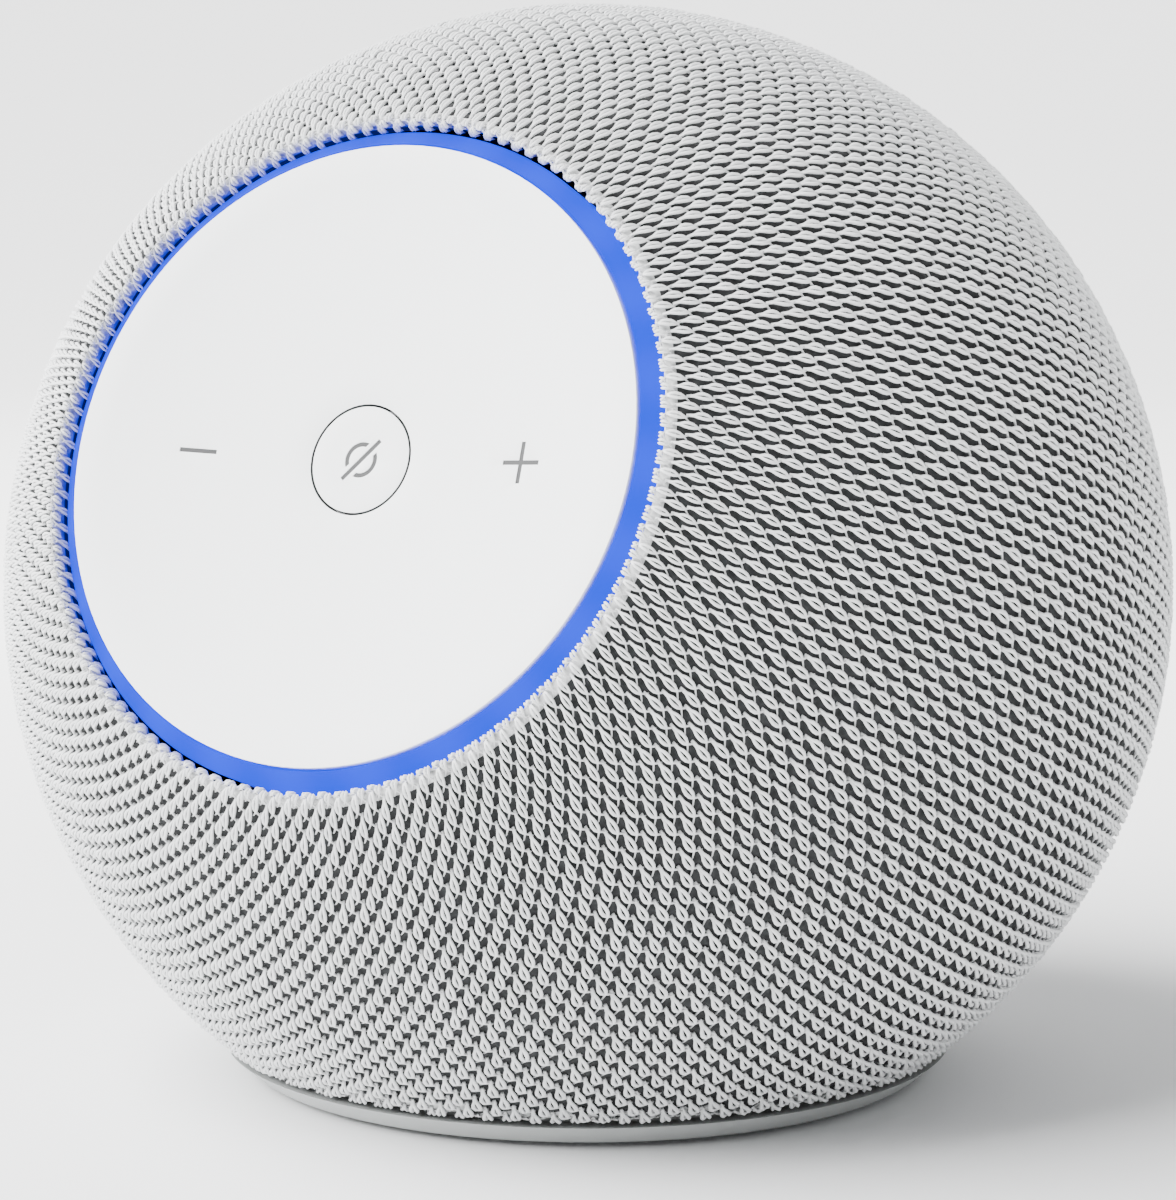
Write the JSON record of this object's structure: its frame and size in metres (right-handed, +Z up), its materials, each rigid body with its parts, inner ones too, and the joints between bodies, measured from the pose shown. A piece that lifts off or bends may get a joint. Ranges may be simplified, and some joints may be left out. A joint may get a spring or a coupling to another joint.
{
  "type": "smart speaker",
  "caption": "Ball-shaped smart speaker with a knitted cover, a dished control plate that rocks to set the volume, a mute button, a light ring and a flat foot.",
  "frame": {"origin": "middle of the foot pad's underside, on the surface the speaker stands on", "axes": "+Z up; the control face looks towards -Y and 20 degrees up; +X is on the plus mark's side"},
  "size_m": [0.1086, 0.1074, 0.0992],
  "materials": {
    "knit": "knitted, matte",
    "housing_plastic": "moulded, fine texture",
    "face_plastic": "satin",
    "button_plastic": "satin",
    "light_guide": "translucent, lit",
    "white_plastic": "satin white",
    "base_plastic": "satin light grey",
    "foot_rubber": "soft, matte",
    "frame_plastic": "moulded",
    "foam": "closed-cell foam",
    "steel": "zinc plated",
    "screw_steel": "black zinc",
    "magnet_ferrite": "ground ferrite",
    "magnet_nickel": "nickel plated",
    "basket_steel": "black powder coat",
    "cone_paper": "pressed paper",
    "surround_rubber": "moulded rubber",
    "spider_cloth": "resin-dipped cloth",
    "coil_wire": "enamelled copper",
    "silk": "coated silk",
    "board": "solder mask",
    "chip": "moulded package",
    "tin": "tinned",
    "heatsink_metal": "anodised",
    "foil": "copper foil",
    "lamp": "clear resin",
    "socket_plastic": "nylon",
    "wire_insulation": "soft sleeve",
    "ribbon": "polyimide film"
  },
  "bodies": {
    "housing": {"foot_pad": "foot_rubber", "base_plate": "base_plastic", "base_ring": "base_plastic", "base_screws": "screw_steel", "lower_housing": "housing_plastic", "upper_housing": "housing_plastic", "housing_seal": "foam", "housing_screws": "screw_steel", "woofer_grille": "housing_plastic", "tweeter_grille": "housing_plastic", "fabric_cover": "knit", "main_board": "board", "board_screws": "screw_steel", "processor": "chip", "shield_can": "tin", "heat_sink": "heatsink_metal", "capacitors": "tin", "board_sockets": "socket_plastic", "antennas": "foil", "power_jack": "chip", "jack_pin": "tin", "port_bezel": "base_plastic", "woofer_basket": "basket_steel", "woofer_surround": "surround_rubber", "woofer_spider": "spider_cloth", "woofer_top_plate": "steel", "woofer_magnet": "magnet_ferrite", "woofer_yoke": "steel", "woofer_screws": "screw_steel", "woofer_terminals": "socket_plastic", "woofer_wires": "wire_insulation", "tweeter_faceplate": "housing_plastic", "tweeter_surround": "silk", "tweeter_pole": "steel", "tweeter_magnet": "magnet_nickel", "tweeter_cup": "steel", "driver_gaskets": "foam", "tweeter_wires": "wire_insulation", "face_frame": "frame_plastic", "face_screws": "screw_steel", "control_board": "board", "ribbon_cable": "ribbon", "leds": "lamp", "microphones": "tin", "minus_switch": "chip", "plus_switch": "chip", "mute_switch": "chip", "light_reflector": "white_plastic", "light_ring": "light_guide", "pivot_pins": "steel"},
    "face_plate": {"face_plate": "face_plastic"},
    "mute_button": {"mute_button": "button_plastic"},
    "minus_plunger": {"minus_plunger": "button_plastic"},
    "plus_plunger": {"plus_plunger": "button_plastic"},
    "mute_plunger": {"mute_plunger": "button_plastic"},
    "woofer_cone": {"woofer_cone": "cone_paper", "woofer_dust_cap": "cone_paper", "woofer_voice_coil": "coil_wire"},
    "tweeter_dome": {"tweeter_dome": "silk", "tweeter_coil": "coil_wire"}
  },
  "joints": [
    {"name": "volume_rock", "type": "hinge", "parent": "housing", "child": "face_plate", "pos_m": [0, -0.03799, 0.05868], "axis": [0, 0.342, 0.9397], "range_deg": [-0.9, 0.9], "stiffness_Nm_per_rad": 1},
    {"name": "plus_press", "type": "slide", "parent": "housing", "child": "plus_plunger", "axis": [0, 0.9397, -0.342], "range_m": [-0.00025, 0.00025]},
    {"name": "minus_press", "type": "slide", "parent": "housing", "child": "minus_plunger", "axis": [0, 0.9397, -0.342], "range_m": [-0.00025, 0.00025]},
    {"name": "mute_press", "type": "slide", "parent": "face_plate", "child": "mute_button", "axis": [0, 0.9397, -0.342], "range_m": [0, 0.0005], "stiffness_N_per_m": 1500},
    {"name": "mute_plunge", "type": "slide", "parent": "housing", "child": "mute_plunger", "axis": [0, 0.9397, -0.342], "range_m": [0, 0.0005]},
    {"name": "woofer_stroke", "type": "slide", "parent": "housing", "child": "woofer_cone", "axis": [0, 0.342, 0.9397], "range_m": [-0.004, 0.004], "stiffness_N_per_m": 1800, "deforming": ["woofer_surround", "woofer_spider"]},
    {"name": "tweeter_stroke", "type": "slide", "parent": "housing", "child": "tweeter_dome", "axis": [0, -0.799, -0.6013], "range_m": [-0.0003, 0.0003], "stiffness_N_per_m": 2000, "deforming": ["tweeter_surround"]}
  ],
  "couplings": [
    {"joint": "plus_press", "follows": "volume_rock", "m_per_rad": 0.01567},
    {"joint": "minus_press", "follows": "volume_rock", "m_per_rad": -0.01567},
    {"joint": "mute_plunge", "follows": "mute_press", "ratio": 1}
  ]
}
